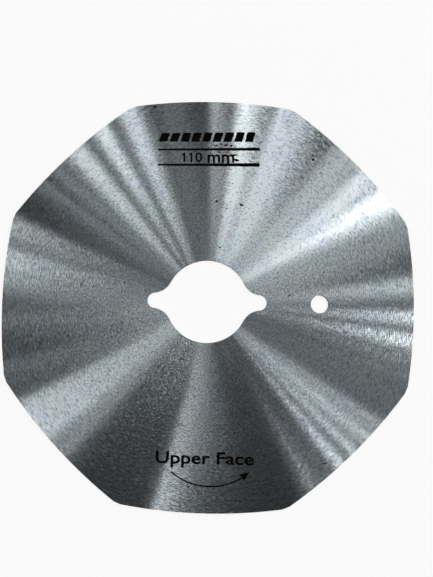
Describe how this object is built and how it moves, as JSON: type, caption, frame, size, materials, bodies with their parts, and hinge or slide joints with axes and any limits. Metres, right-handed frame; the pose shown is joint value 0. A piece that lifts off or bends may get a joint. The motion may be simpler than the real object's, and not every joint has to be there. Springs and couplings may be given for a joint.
{
  "type": "rotary cutter blade",
  "caption": "Flat steel cutting blade with bowed sides, rounded corners, an underside bevel, a hub bore with two driving ears and a pin hole.",
  "frame": {"origin": "centre of the hub bore, on the underside that the blade lies on", "axes": "+Z through the thickness to the marked face, +X from the bore to the pin hole through the driving ears"},
  "size_m": [0.1054, 0.1054, 0.0012],
  "materials": {
    "ground_steel": "ground in fine rings round the bore, with dark etched marks"
  },
  "bodies": {
    "root": {"blade": "ground_steel"}
  },
  "joints": []
}
